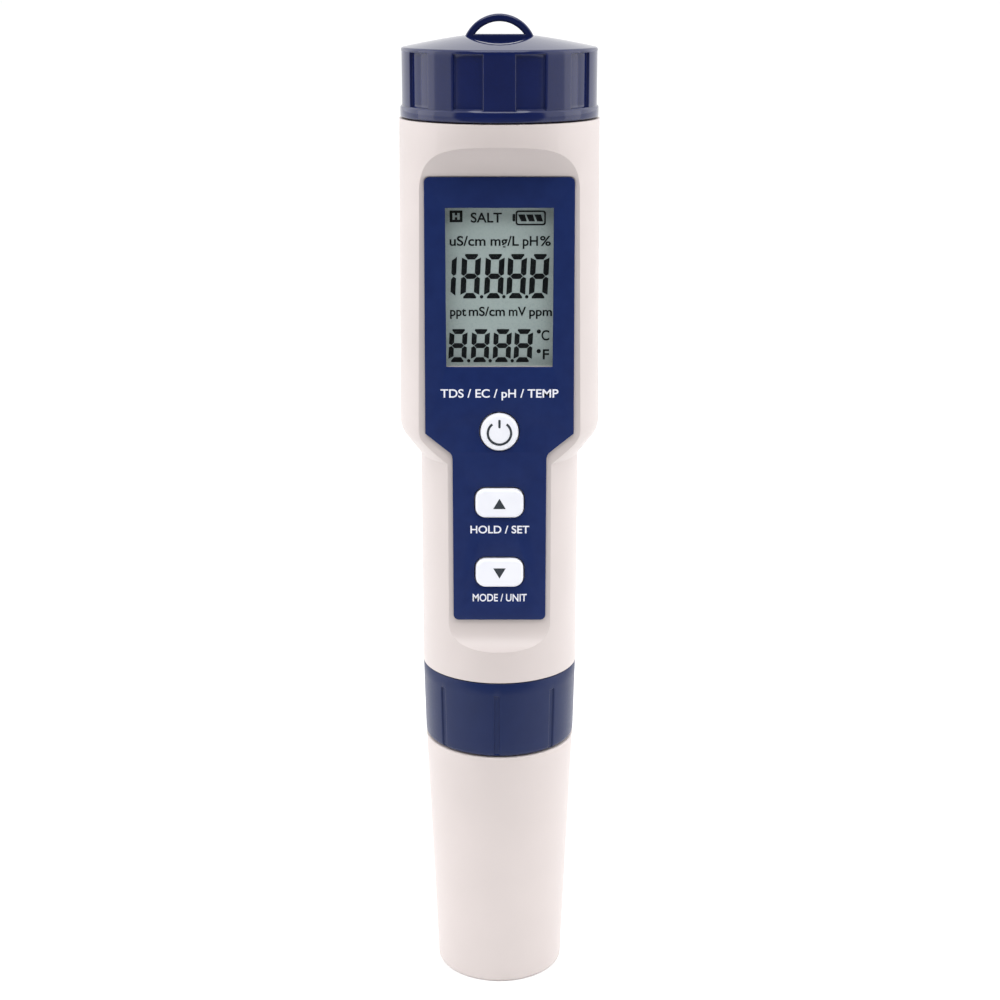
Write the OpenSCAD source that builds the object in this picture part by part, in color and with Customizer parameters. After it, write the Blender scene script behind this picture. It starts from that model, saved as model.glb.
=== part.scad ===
// Pen-shaped digital water tester: display housing, screw-off battery cap,
// screw-off probe with its collar, and a pull-off soaking cap it stands on.
// Millimetres, +Z up, display towards -Y, origin at the centre of the base.

/* [Overall] */
// Height of the soaking cap, from the base to the collar
soak_h = 49.6; // [40:0.1:62]
// Height of the probe collar
collar_h = 15.15; // [12:0.05:20]
// Length of the slim grip, from the collar to the shoulder
grip_h = 42.1; // [40:0.1:60]
// Length of the wide body, from the shoulder to the battery cap
body_h = 55.75; // [52:0.05:75]
// Outer diameter of the wide body
body_d = 37.7; // [36:0.1:46]
// How far the wide body closes in on each side from the shoulder to the battery cap
body_taper = 0.6; // [0:0.05:1]
// Outer diameter of the slim grip
grip_d = 30; // [29:0.1:33]
// Wall of the housing
wall = 2; // [1.4:0.1:2.6]
// Gap seen between pieces that are screwed together
seam = 0.25; // [0.1:0.05:0.5]

/* [Shoulder] */
// Slope of the shoulder from level, in degrees
shoulder_slope = 52; // [35:1:70]
// Radius that rounds the shoulder into the wide body
shoulder_r = 5; // [1:0.1:7]

/* [Face] */
// Distance from the axis to the flat face
face_depth = 11.5; // [10.8:0.1:12.5]
// Radius of the cove above the face
cove_r = 8; // [4:0.1:10]
// Distance from the battery cap down to the top of the cove
cove_drop = 3.8; // [2:0.05:8]
// Radius of the cove that runs the face out into the grip
runout_r = 5; // [3.8:0.1:8]

/* [Panel] */
// Width of the panel beside the window
panel_w = 27.4; // [26:0.1:28.6]
// How far each side of the panel closes in from its widest place to its top
panel_taper = 0.25; // [0:0.05:0.6]
// Width of the panel beside the keys
panel_low_w = 17.4; // [14:0.1:18.2]
// Thickness of the panel
panel_t = 0.6; // [0.4:0.1:1]
// Distance from the battery cap down to the panel
panel_head = 9.55; // [8:0.05:20]
// Distance from the collar up to the panel
panel_foot = 11.75; // [9:0.05:14]
// Corner radius of the panel
panel_r = 1; // [0.5:0.1:2]

/* [Window] */
// Width of the window
window_w = 19.4; // [14:0.1:20]
// Height of the window
window_h = 28.9; // [20:0.1:30]
// Distance from the panel's top to the window
window_drop = 5.45; // [4:0.05:8]
// How far the lens reaches under the panel
lens_lap = 1.1; // [0.5:0.1:1.5]
// Thickness of the lens
lens_t = 1; // [0.6:0.1:1.4]
// Thickness of the display glass
glass_t = 2.2; // [1.5:0.1:2.6]

/* [Keys] */
// Diameter of the power key
power_d = 7; // [5:0.1:8]
// Width of the arrow keys
key_w = 8.95; // [6:0.05:10.8]
// Height of the arrow keys
key_h = 5.5; // [4:0.1:7]
// Corner radius of the arrow keys
key_r = 1.9; // [1:0.1:2.4]
// Distance between key centres
key_pitch = 13.6; // [11:0.1:13.8]
// Height of the power key above the shoulder's foot
power_rise = 6.4; // [4:0.1:7.5]
// How far a key stands out of the panel
key_proud = 0.9; // [0.7:0.05:1.5]
// Travel of a key
key_travel = 0.6; // [0.3:0.05:0.6]

/* [Battery cap] */
// Height of the battery cap's skirt
lid_h = 12.2; // [12:0.1:16]
// Height of the plain band at the bottom of the cap
band_h = 2; // [1:0.1:3]
// Rise of the domed top
dome_h = 2.65; // [0.5:0.05:3]
// Depth of the grip pockets
pocket_depth = 0.5; // [0.2:0.05:0.7]
// Number of grip pockets
pockets = 10; // [6:1:14]
// Width of the lanyard eye
eye_w = 12.2; // [9:0.1:15]
// Height of the lanyard eye above the dome
eye_h = 3.2; // [2.5:0.1:6]
// Thickness of the lanyard eye, front to back
eye_t = 2.8; // [2:0.1:4]
// Thickness of the bar that arches over the lanyard eye
eye_bar = 1.35; // [1:0.05:2]

/* [Threads] */
// Lead of the battery cap's two-start thread
lid_lead = 6; // [5:0.5:7]
// Lead of the collar's two-start thread
collar_lead = 5; // [4:0.5:6]
// Height of a thread ridge
ridge = 0.8; // [0.5:0.05:0.9]
// Gap between ridges and the wall they face
thread_gap = 0.25; // [0.2:0.05:0.3]

/* [Batteries] */
// Diameter of a button cell
cell_d = 11.6; // [9:0.1:11.6]
// Height of a button cell
cell_h = 5.4; // [4.2:0.1:5.4]
// Gap around a cell in its well
cell_gap = 0.2; // [0.1:0.05:0.3]

/* [Probe] */
// Diameter of the probe barrel
barrel_d = 23; // [20:0.1:23.4]
// Diameter of the slotted guard around the sensors
guard_d = 20.4; // [18:0.1:20.8]
// Height of the slotted guard
guard_h = 13; // [8:0.1:16]
// Diameter of the glass bulb
bulb_d = 6.4; // [4:0.1:7]
// Diameter of the base of the soaking cap
base_d = 25; // [24:0.1:27]
// Height of the sponge in the soaking cap
sponge_h = 5; // [3:0.1:7]

/* [Hidden] */
$fn = 96;
over = 1;             // how far a cutter runs past what it cuts
slide_gap = 0.25;     // between pieces that slide past each other
fit_gap = 0.1;        // around pieces that are glued or laid in a pocket
sink = 0.4;           // how deep a thread ridge is rooted in its wall

// Heights, from the base up
z_collar = soak_h + seam;
z_grip = z_collar + collar_h + seam;
z_shoulder = z_grip + grip_h;
body_r = body_d / 2;
top_r = body_r - body_taper;
grip_r = grip_d / 2;
round_r = min(shoulder_r, 0.9 * (body_r - grip_r) / (1 - sin(shoulder_slope)));
slope_run = body_r - grip_r - round_r * (1 - sin(shoulder_slope));
z_tangent = z_shoulder + slope_run * tan(shoulder_slope);
z_body = z_tangent + round_r * cos(shoulder_slope);
z_neck = z_body + body_h;
z_lid = z_neck + seam;
z_rim = z_lid + lid_h;
z_dome = z_rim + dome_h;

// Face, panel, window and keys
inner_face = face_depth - wall + 0.2;
panel_top = z_neck - panel_head;
panel_bottom = z_grip + panel_foot;
flat_bottom = panel_bottom - 0.8;
z_cove = z_neck - cove_drop - cove_r;
panel_face = face_depth + panel_t;
step_low = z_shoulder + 1.9;
step_high = step_low + (panel_w - panel_low_w) / 2 * tan(37.5);
z_window = panel_top - window_drop - window_h / 2;
lens_w = window_w + 2 * lens_lap;
lens_h = window_h + 2 * lens_lap;
z_power = z_shoulder + power_rise;
z_up = z_power - key_pitch;
z_down = z_up - key_pitch;
flange_lap = 1;       // how far a key's flange reaches behind the wall
flange_t = 0.9;

// Board stack behind the face
frame_w = lens_w + 2.6;
frame_h = lens_h + 2.6;
stack = 5;            // from the inner face to the board
board_front = inner_face - stack;
board_t = 1.6;
board_back = board_front - board_t;
board_w = 26;
board_low_w = 17;
z_board_top = z_neck - 8;
z_board_bottom = panel_bottom - 0.5;
z_board_step = z_body + 1.2;
switch_size = 6;
switch_t = 3.1;
plunger_r = 1.6;
boss_r = 2;
screw_r = 0.85;
screws = [[-10.2, z_board_top - 2], [10.2, z_board_top - 2],
    [-6, z_down - key_h / 2 - 4.4], [6, z_down - key_h / 2 - 4.4]];

// Neck and battery compartment
band_r = top_r - 0.2;
skirt_r = band_r - 0.25;
lid_bore_r = skirt_r - pocket_depth - 1.2;
neck_r = lid_bore_r - thread_gap - ridge;
neck_bore_r = neck_r - 1.7;
neck_h = lid_h - 3.2;
seal_r = 0.85;        // radius of an O-ring's section
seal_proud = 0.15;    // how far an O-ring stands out of its groove
neck_seal_proud = thread_gap + ridge - 0.15;
z_neck_seal = z_neck + 0.5 + seal_r;
lid_rise = neck_h - 4.1;
carriage_r = neck_bore_r - slide_gap - 0.1;
well_r = cell_d / 2 + cell_gap;
well_x = well_r + 0.3;
z_carriage = z_neck - 2.75;
z_cells = z_carriage + 0.8;
z_bridge = z_cells + 2 * cell_h + 0.25;
bridge_t = 0.4;
z_cover = z_bridge + bridge_t + 0.05;
cover_t = 1.45;
z_lid_in = z_rim - 1.1;
z_boss = z_cover + cover_t + 0.2;
swivel_r = 1.3;
swivel_head_r = 2.4;
z_floor = z_carriage - 4.2;
floor_t = 1.8;
floor_r = body_r - body_taper * (z_floor + floor_t + wall - z_body) / body_h - wall - fit_gap;
key_rib_w = 2.4;

// Spigot, collar and probe
spigot_r = grip_r - 1.2 - thread_gap - 2 * ridge;
spigot_h = collar_h - 4.3;
spigot_bore_r = spigot_r - 1.9;
z_spigot = z_grip - spigot_h;
collar_rise = 5;
collar_top_r = grip_r - 0.05;
collar_bottom_r = grip_r - 0.4;
collar_bore_r = spigot_r + ridge + thread_gap;
lip_h = 2;
barrel_r = barrel_d / 2;
flange_r = collar_bore_r - slide_gap - 0.05;
z_flange = z_collar + lip_h + 0.1;
z_flange_top = z_spigot - 0.1;
z_barrel_seal = z_collar - 5;
z_plug_seal = z_flange_top + 3.4;
plug_r = spigot_bore_r - slide_gap;
z_plug_top = z_grip + 3;
z_socket = z_plug_top + 0.6;
soak_floor = 2;
soak_wall = 2;
z_guard = soak_floor + sponge_h + 3;
z_crown = z_guard + guard_h;
guard_r = guard_d / 2;
soak_bore_r = barrel_r + slide_gap;
soak_low_bore_r = guard_r + slide_gap + 0.1;
z_soak_step = z_crown - 0.5;
grooves = 8;
// places and radii of the junction, two pins and temperature tube round the bulb
seats = [[0, 5.9, 1.2], [-5.7, -1.6, 1], [5.7, -1.6, 1], [0, -5.9, 1.5]];

// Rectangle with round corners, centred
module round_rect(w, h, r) {
    for (s = [-1, 1]) {
        translate([s * (w / 2 - r), h / 2 - r]) circle(r = r);
        translate([s * (w / 2 - r), r - h / 2]) circle(r = r);
    }
    square([w - 2 * r, h], center = true);
    square([w, h - 2 * r], center = true);
}

// Stands a drawing in X and Z upright: it reaches from y = -far back by t
module upright(far, t) {
    translate([0, t - far, 0])
        rotate([90, 0, 0])
            linear_extrude(height = t)
                children();
}

// Bar along Y, from y = -front back to y = -back
module pin_y(r, front, back) {
    translate([0, -back, 0])
        rotate([90, 0, 0])
            cylinder(r = r, h = front - back);
}

// Two-start ridge winding up round +Z: w_in thick at r_in and w_out at the larger r_out
module thread(r_in, r_out, w_in, w_out, lead, rise, steps = 30) {
    n = ceil(steps * rise / lead);
    section = [[r_in, -w_in / 2], [r_out, -w_out / 2], [r_out, w_out / 2], [r_in, w_in / 2]];
    points = [for (i = [0:n], p = section)
        let (a = 360 * rise / lead * i / n)
        [p[0] * cos(a), p[0] * sin(a), p[1] + rise * i / n]];
    sides = [for (i = [0:n - 1], j = [0:3])
        let (a = 4 * i + j, b = 4 * i + (j + 1) % 4)
        each [[a, b + 4, a + 4], [a, b, b + 4]]];
    ends = [[3, 2, 1, 0], [4 * n, 4 * n + 1, 4 * n + 2, 4 * n + 3]];
    for (s = [0, 180])
        rotate([0, 0, s])
            polyhedron(points, concat(sides, ends));
}

// Outline of the housing from the spigot's root to the neck, as radius and height
module housing_profile(inset) {
    arc = [for (i = [0:8])
        let (a = (90 - shoulder_slope) * (1 - i / 8))
        [body_r - inset - round_r * (1 - cos(a)), z_body - round_r * sin(a)]];
    polygon(concat([[0, z_grip], [grip_r - inset, z_grip], [grip_r - inset, z_shoulder]],
        arc, [[top_r - inset, z_neck], [0, z_neck]]));
}

// What is cut away in front of the flat face: the flat, the cove above, the run-out below
module face_cut() {
    wide = body_d + 2 * over;
    translate([-wide / 2, -body_r - cove_r - over, flat_bottom])
        cube([wide, body_r + cove_r + over - face_depth, z_cove - flat_bottom]);
    translate([-wide / 2, -face_depth - cove_r, z_cove])
        rotate([0, 90, 0])
            cylinder(r = cove_r, h = wide);
    translate([-wide / 2, -body_r - 2 * cove_r, z_cove])
        cube([wide, body_r + cove_r - face_depth, cove_r]);
    translate([-wide / 2, -face_depth - runout_r, flat_bottom])
        rotate([0, 90, 0])
            cylinder(r = runout_r, h = wide);
}

// Outline of the panel in X and Z, grown by gap on every side
module panel_outline(gap = 0) {
    w = panel_w / 2 + gap;
    top_w = w - panel_taper;
    low = panel_low_w / 2 + gap;
    r = panel_r;
    for (s = [-1, 1]) {
        translate([s * (top_w - r), panel_top + gap - r]) circle(r = r);
        translate([s * (low - r), panel_bottom - gap + r]) circle(r = r);
    }
    translate([r - top_w, step_high])
        square([2 * (top_w - r), panel_top + gap - step_high]);
    translate([r - low, panel_bottom - gap])
        square([2 * (low - r), step_low - panel_bottom]);
    translate([-low, panel_bottom - gap + r])
        square([2 * low, step_high - panel_bottom - r]);
    polygon([[-w, step_high], [-low, step_low - gap], [low, step_low - gap], [w, step_high],
        [top_w, panel_top + gap - r], [-top_w, panel_top + gap - r]]);
}

module window_outline(grow = 0) {
    translate([0, z_window])
        square([window_w + 2 * grow, window_h + 2 * grow], center = true);
}

// Outlines of the three keys, grown by gap
module power_outline(gap = 0) {
    translate([0, z_power]) circle(r = power_d / 2 + gap);
}

module arrow_outline(z, gap = 0) {
    translate([0, z]) round_rect(key_w + 2 * gap, key_h + 2 * gap, key_r + gap);
}

module main_housing() {
    color([0.87, 0.84, 0.81]) {
        difference() {
            union() {
                difference() {
                    union() {
                        rotate_extrude() housing_profile(0);
                        translate([0, 0, z_neck - 0.01])
                            cylinder(r = neck_r, h = neck_h + 0.01);
                        translate([0, 0, z_spigot])
                            cylinder(r = spigot_r, h = spigot_h + 0.01);
                    }
                    face_cut();
                    upright(face_depth + cove_r, cove_r) panel_outline(fit_gap);
                    // hollow behind the face
                    difference() {
                        translate([0, 0, -wall])
                            rotate_extrude() housing_profile(wall);
                        translate([-body_r, -body_d - inner_face, 0])
                            cube([body_d, body_d, z_neck + over]);
                    }
                    translate([0, 0, z_spigot - over])
                        cylinder(r = spigot_bore_r, h = spigot_h + wall + 3 * over);
                    translate([0, 0, z_carriage - slide_gap])
                        cylinder(r = neck_bore_r, h = z_neck + neck_h - z_carriage + over);
                    seal_groove(z_neck_seal, neck_r, neck_seal_proud);
                    // slot that keeps the carriage from turning
                    translate([-key_rib_w / 2 - slide_gap, 0, z_carriage - slide_gap])
                        cube([key_rib_w + 2 * slide_gap, neck_bore_r + 0.8,
                            z_neck + neck_h - z_carriage + over]);
                    upright(face_depth + over, over + lens_t + 0.05)
                        window_outline(lens_lap + fit_gap);
                    upright(face_depth + over, over + wall + over) {
                        window_outline(0.25);
                        power_outline(slide_gap);
                        arrow_outline(z_up, slide_gap);
                        arrow_outline(z_down, slide_gap);
                    }
                }
                for (p = screws)
                    translate([p[0], 0, p[1]])
                        pin_y(boss_r, inner_face + 0.5, board_front);
                translate([0, 0, z_neck + neck_h - 0.9 - lid_rise])
                    thread(neck_r - sink, neck_r + ridge, 1.7, 0.7, lid_lead, lid_rise);
                translate([0, 0, z_spigot + 0.9])
                    thread(spigot_r - sink, spigot_r + ridge, 1.5, 0.6, collar_lead,
                        collar_rise);
            }
            for (p = screws)
                translate([p[0], 0, p[1]])
                    pin_y(screw_r, inner_face - 0.4, board_front - over);
        }
    }
}

module front_panel() {
    color([0.13, 0.18, 0.38])
        upright(panel_face, panel_t)
            difference() {
                panel_outline();
                window_outline();
                power_outline(slide_gap);
                arrow_outline(z_up, slide_gap);
                arrow_outline(z_down, slide_gap);
            }
}

module window_lens() {
    color([0.8, 0.86, 0.86, 0.4])
        upright(face_depth - 0.02, lens_t)
            window_outline(lens_lap);
}

module display_glass() {
    color([0.55, 0.6, 0.59])
        upright(inner_face - 0.05, glass_t)
            window_outline(lens_lap - fit_gap);
}

module display_frame() {
    color([0.92, 0.92, 0.9])
        upright(inner_face - 0.02, stack - 0.02)
            difference() {
                window_outline((frame_w - window_w) / 2);
                window_outline(lens_lap + fit_gap / 2);
            }
}

module backlight() {
    color([0.95, 0.97, 0.95])
        upright(inner_face - glass_t - 0.1, 1.2)
            translate([0, z_window]) square([window_w, window_h - 3], center = true);
}

module zebra_strip(side) {
    color([0.85, 0.4, 0.5])
        upright(inner_face - glass_t - 0.06, stack - glass_t - 0.07)
            translate([0, z_window + side * (lens_h / 2 - 1.2)])
                square([window_w, 1.5], center = true);
}

module main_board() {
    color([0.1, 0.4, 0.22])
        difference() {
            upright(board_front, board_t) {
                translate([-board_w / 2, z_board_step])
                    square([board_w, z_board_top - z_board_step]);
                translate([-board_low_w / 2, z_board_bottom])
                    square([board_low_w, z_board_step + 0.01 - z_board_bottom]);
            }
            for (p = screws)
                translate([p[0], 0, p[1]])
                    pin_y(screw_r + 0.25, board_front + over, board_back - over);
        }
}

module controller_chip() {
    color([0.1, 0.1, 0.11])
        upright(board_back, 1.4)
            translate([0, z_window]) round_rect(10, 10, 0.4);
}

module tact_switch(z) {
    color([0.15, 0.15, 0.16])
        difference() {
            upright(board_front + switch_t, switch_t)
                translate([0, z]) square([switch_size, switch_size], center = true);
            translate([0, 0, z])
                pin_y(plunger_r + 0.05, board_front + switch_t + over, board_front + 0.8);
        }
}

module plunger(z) {
    color([0.2, 0.2, 0.2])
        translate([0, 0, z])
            pin_y(plunger_r, inner_face - flange_t - 0.1,
                board_front + 0.8 + key_travel + 0.1);
}

module board_screw(i) {
    color([0.7, 0.71, 0.73])
        translate([screws[i][0], 0, screws[i][1]])
            difference() {
                union() {
                    pin_y(screw_r - 0.02, board_front + 4, board_back);
                    pin_y(1.75, board_back, board_back - 1.2);
                }
                translate([-1.2, -board_back + 0.6, -0.2]) cube([2.4, 1, 0.4]);
                translate([-0.2, -board_back + 0.6, -1.2]) cube([0.4, 1, 2.4]);
            }
}

module battery_floor() {
    color([0.82, 0.8, 0.78])
        translate([0, 0, z_floor])
            difference() {
                cylinder(r = floor_r, h = floor_t);
                translate([-body_r, -body_d - inner_face + fit_gap, -over])
                    cube([body_d, body_d, floor_t + 2 * over]);
                translate([0, 9, -over]) cylinder(r = 2, h = floor_t + 2 * over);
            }
}

// Bowed contact strip that presses on the bottom cell
module battery_leaf(side) {
    bow = z_cells - z_floor - floor_t - 0.05;
    half = 4;
    r = (half * half + bow * bow) / (2 * bow);
    color([0.83, 0.72, 0.4])
        translate([side * well_x, 0, z_floor + floor_t])
            rotate([90, 0, 90])
                translate([0, 0, -1.5])
                    linear_extrude(height = 3)
                        intersection() {
                            difference() {
                                translate([0, bow - r]) circle(r = r);
                                translate([0, bow - r]) circle(r = r - 0.35);
                            }
                            translate([-half, 0]) square([2 * half, bow + 1]);
                        }
}

module ring(r, section) {
    rotate_extrude()
        translate([r, 0]) circle(r = section);
}

// Groove round a shaft of radius r for an O-ring whose middle is at height z
module seal_groove(z, r, proud) {
    floor_r = r + proud - 2 * seal_r - 0.02;
    translate([0, 0, z - seal_r - 0.05])
        difference() {
            cylinder(r = r + over, h = 2 * seal_r + 0.1);
            translate([0, 0, -over]) cylinder(r = floor_r, h = 2 * seal_r + 2 * over);
        }
}

// O-ring that stands proud of a shaft of radius r
module seal(z, r, proud) {
    color([0.12, 0.12, 0.12])
        translate([0, 0, z])
            ring(r + proud - seal_r, seal_r);
}

module probe_socket() {
    color([0.16, 0.16, 0.17])
        difference() {
            union() {
                translate([0, 0, z_socket])
                    cylinder(r = grip_r - wall - fit_gap - 0.5, h = 2);
                translate([0, 0, z_socket + 2 - 0.01])
                    cylinder(r = 5.5, h = 2.4);
            }
            translate([-grip_r, -grip_d - inner_face + fit_gap, z_socket - over])
                cube([grip_d, grip_d, 8]);
            for (a = [0:72:288])
                rotate([0, 0, a + 18])
                    translate([3.4, 0, z_socket - over])
                        cylinder(r = 0.55, h = 4);
        }
}

// Key cap: head through the wall and a flange behind it
module key_cap(z) {
    front = panel_face + key_proud;
    color([0.93, 0.92, 0.95]) {
        upright(front - 0.35, front - 0.35 - inner_face + 0.2) children(0);
        upright(front, 0.36) children(1);
        upright(inner_face - 0.1, flange_t) children(2);
    }
}

module power_key() {
    key_cap() {
        power_outline();
        power_outline(-0.35);
        power_outline(flange_lap);
    }
}

module arrow_key(z) {
    key_cap() {
        arrow_outline(z);
        arrow_outline(z, -0.35);
        arrow_outline(z, flange_lap);
    }
}

module battery_carriage() {
    color([0.2, 0.2, 0.22])
        difference() {
            union() {
                translate([0, 0, z_carriage])
                    cylinder(r = carriage_r, h = z_bridge - z_carriage - 0.05);
                translate([-key_rib_w / 2, 0, z_carriage + wall + 1.2])
                    cube([key_rib_w, neck_bore_r + 0.5, z_bridge - z_carriage - wall - 1.25]);
            }
            for (s = [-1, 1])
                translate([s * well_x, 0, 0]) {
                    translate([0, 0, z_cells])
                        cylinder(r = well_r, h = 3 * cell_h);
                    translate([0, 0, z_carriage - over])
                        cylinder(r = well_r - 0.9, h = 3 * over);
                }
        }
}

module carriage_cover() {
    color([0.2, 0.2, 0.22])
        translate([0, 0, z_cover])
            difference() {
                cylinder(r = carriage_r, h = cover_t);
                translate([0, 0, -over])
                    cylinder(r = swivel_r + 0.05, h = cover_t + 2 * over);
                translate([0, 0, -over])
                    cylinder(r = swivel_head_r + slide_gap, h = cover_t - 0.6 + over);
            }
}

module contact_bridge() {
    color([0.8, 0.78, 0.7])
        translate([0, 0, z_bridge])
            linear_extrude(height = bridge_t)
                round_rect(2 * well_x + 6, 5, 1.5);
}

module button_cell(side, level) {
    r = cell_d / 2;
    color([0.75, 0.76, 0.78])
        translate([side * well_x, 0, z_cells + level * cell_h])
            rotate_extrude()
                polygon([[0, 0], [r - 1.2, 0], [r - 1.2, 0.3], [r - 0.5, 0.3], [r, 0.8],
                    [r, cell_h - 0.02], [0, cell_h - 0.02]]);
}

// Height of the cap's crown at a distance r from the axis
function crown(r) = z_dome - dome_h * pow(r / skirt_r, 1.45);

module battery_cap() {
    edge = 0.4;
    half = eye_w / 2;
    rise = z_dome + eye_h - crown(half);
    arch_r = (half * half + rise * rise) / (2 * rise);
    z_arch = z_dome + eye_h - arch_r;
    z_scoop = z_rim + 0.38 * dome_h;
    sag = crown(half) - z_scoop;
    scoop_r = (half * half + sag * sag) / (2 * sag);
    color([0.11, 0.16, 0.36])
        difference() {
            union() {
                difference() {
                    union() {
                        translate([0, 0, z_lid]) cylinder(r = band_r, h = band_h);
                        rotate_extrude()
                            polygon(concat([[0, z_lid], [skirt_r, z_lid],
                                [skirt_r, z_rim - edge]],
                                [for (i = [0:8])
                                    let (r = (skirt_r - edge) * (1 - i / 8))
                                    [r, crown(r)]]));
                    }
                    for (i = [0:pockets - 1])
                        rotate([0, 0, 360 / pockets * (i + 0.5) - 90])
                            pocket_cut();
                    translate([0, body_r, z_scoop + scoop_r])
                        rotate([90, 0, 0])
                            cylinder(r = scoop_r, h = body_d);
                    translate([0, 0, z_lid - over])
                        cylinder(r = lid_bore_r, h = z_lid_in - z_lid + over);
                }
                difference() {
                    intersection() {
                        translate([0, eye_t / 2, z_arch])
                            rotate([90, 0, 0])
                                cylinder(r = arch_r, h = eye_t);
                        translate([-body_r, -body_r, z_lid_in + 0.2])
                            cube([body_d, body_d, 2 * lid_h]);
                    }
                    intersection() {
                        translate([0, eye_t, z_arch])
                            rotate([90, 0, 0])
                                cylinder(r = arch_r - eye_bar, h = 2 * eye_t);
                        translate([-body_r, -body_r, z_dome - 0.35])
                            cube([body_d, body_d, 2 * lid_h]);
                    }
                }
                translate([0, 0, z_boss]) cylinder(r = 3, h = z_lid_in - z_boss + 0.5);
                intersection() {
                    translate([0, 0, z_neck + neck_h - 0.9 - lid_rise + lid_lead / 4])
                        thread(neck_r + thread_gap, lid_bore_r + sink, 0.6, 1.6, lid_lead,
                            lid_rise - 1.5);
                    cylinder(r = lid_bore_r + 0.6, h = z_lid_in + 0.2);
                }
            }
            translate([0, 0, z_boss - over])
                cylinder(r = swivel_r - 0.3, h = over + 1.4);
        }
}

// One grip pocket in the cap's skirt, facing +X
module pocket_cut() {
    arc = 360 / pockets / 2;
    rotate([0, 0, -arc / 2])
        translate([0, 0, z_lid + band_h])
            rotate_extrude(angle = arc)
                translate([skirt_r - pocket_depth, 0])
                    square([pocket_depth + over, lid_h - band_h - 0.45]);
}

module swivel_screw() {
    color([0.72, 0.73, 0.75])
        translate([0, 0, z_cover + 0.1])
            difference() {
                union() {
                    cylinder(r = swivel_head_r, h = 0.65);
                    cylinder(r = swivel_r, h = z_boss - z_cover - 0.12);
                    cylinder(r = swivel_r - 0.32, h = z_boss - z_cover + 1);
                }
                translate([-1.6, -0.25, -over]) cube([3.2, 0.5, over + 0.35]);
            }
}

module probe_body() {
    color([0.9, 0.89, 0.87])
        difference() {
            union() {
                translate([0, 0, z_flange])
                    cylinder(r = flange_r, h = z_flange_top - z_flange);
                translate([0, 0, z_crown])
                    cylinder(r = barrel_r, h = z_flange - z_crown + 0.01);
                translate([0, 0, z_flange_top - 0.01])
                    cylinder(r = plug_r, h = z_plug_top - z_flange_top);
                translate([0, 0, z_guard])
                    cylinder(r = guard_r, h = guard_h + 0.01);
            }
            // water chamber inside the slotted guard
            translate([0, 0, z_guard - over])
                cylinder(r = guard_r - 1.6, h = guard_h + over);
            for (a = [0, 90])
                rotate([0, 0, a + 45])
                    translate([-guard_r - over, -2.6, z_guard - over])
                        cube([guard_d + 2 * over, 5.2, guard_h - 1.5]);
            seal_groove(z_barrel_seal, barrel_r, seal_proud);
            seal_groove(z_plug_seal, plug_r, seal_proud);
            // sensor seats
            translate([0, 0, z_crown - over]) cylinder(r = 2.7, h = 6);
            for (p = seats)
                translate([p[0], p[1], z_crown - over]) cylinder(r = p[2] + 0.02, h = 5);
        }
}

module probe_plug() {
    color([0.83, 0.72, 0.4])
        translate([0, 0, z_plug_top - 0.01])
            for (a = [0:72:288])
                rotate([0, 0, a + 18])
                    translate([3.4, 0, 0]) {
                        cylinder(r = 0.5, h = 3.2);
                    }
}

module glass_electrode() {
    z_bulb = z_guard + bulb_d / 2 + 1;
    color([0.8, 0.9, 0.95, 0.45])
        union() {
            translate([0, 0, z_bulb]) sphere(d = bulb_d);
            translate([0, 0, z_bulb]) cylinder(r = 2.6, h = z_crown + 4.5 - z_bulb);
        }
}

module sensor_pin(i, tip) {
    color([0.45, 0.46, 0.48])
        translate([seats[i][0], seats[i][1], z_guard + tip])
            cylinder(r = seats[i][2], h = z_crown + 3.5 - z_guard - tip);
}

module temperature_tube() {
    r = seats[3][2];
    color([0.75, 0.76, 0.78])
        translate([seats[3][0], seats[3][1], z_guard + 3])
            union() {
                translate([0, 0, r]) sphere(r = r);
                translate([0, 0, r]) cylinder(r = r, h = z_crown + 0.5 - z_guard - r);
            }
}

module probe_collar() {
    round_low = 0.9;
    color([0.19, 0.24, 0.42])
        difference() {
            union() {
                difference() {
                    rotate_extrude()
                        polygon(concat([[0, z_collar]],
                            [for (i = [0:6])
                                let (a = -90 + 15 * i)
                                [collar_bottom_r - round_low + round_low * cos(a),
                                    z_collar + round_low + round_low * sin(a)]],
                            [[collar_top_r, z_collar + collar_h], [0, z_collar + collar_h]]));
                    translate([0, 0, z_collar + lip_h])
                        cylinder(r = collar_bore_r, h = collar_h);
                    translate([0, 0, z_collar - over])
                        cylinder(r = barrel_r + slide_gap, h = lip_h + 2 * over);
                }
                intersection() {
                    translate([0, 0, z_spigot + 0.9 + collar_lead / 4])
                        thread(spigot_r + thread_gap, collar_bore_r + sink, 0.5, 1.4,
                            collar_lead, collar_rise - 0.5);
                    cylinder(r = collar_bore_r + 0.6, h = z_grip);
                }
            }
            for (i = [0:grooves - 1])
                rotate([0, 0, 360 / grooves * i - 92])
                    translate([collar_bottom_r - 0.25, -0.55, z_collar - over])
                        cube([2, 1.1, collar_h - 2.5 + over]);
        }
}

module soaking_cap() {
    color([0.88, 0.85, 0.82])
        difference() {
            rotate_extrude()
                polygon([[0, 0], [base_d / 2 - 0.5, 0], [base_d / 2, 0.5],
                    [soak_bore_r + soak_wall + 0.8, soak_h], [0, soak_h]]);
            translate([0, 0, soak_floor])
                cylinder(r = soak_low_bore_r, h = soak_h);
            translate([0, 0, z_soak_step])
                cylinder(r = soak_bore_r, h = soak_h);
        }
}

module soaking_sponge() {
    color([0.95, 0.85, 0.5])
        translate([0, 0, soak_floor])
            cylinder(r = soak_low_bore_r - fit_gap, h = sponge_h);
}

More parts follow.
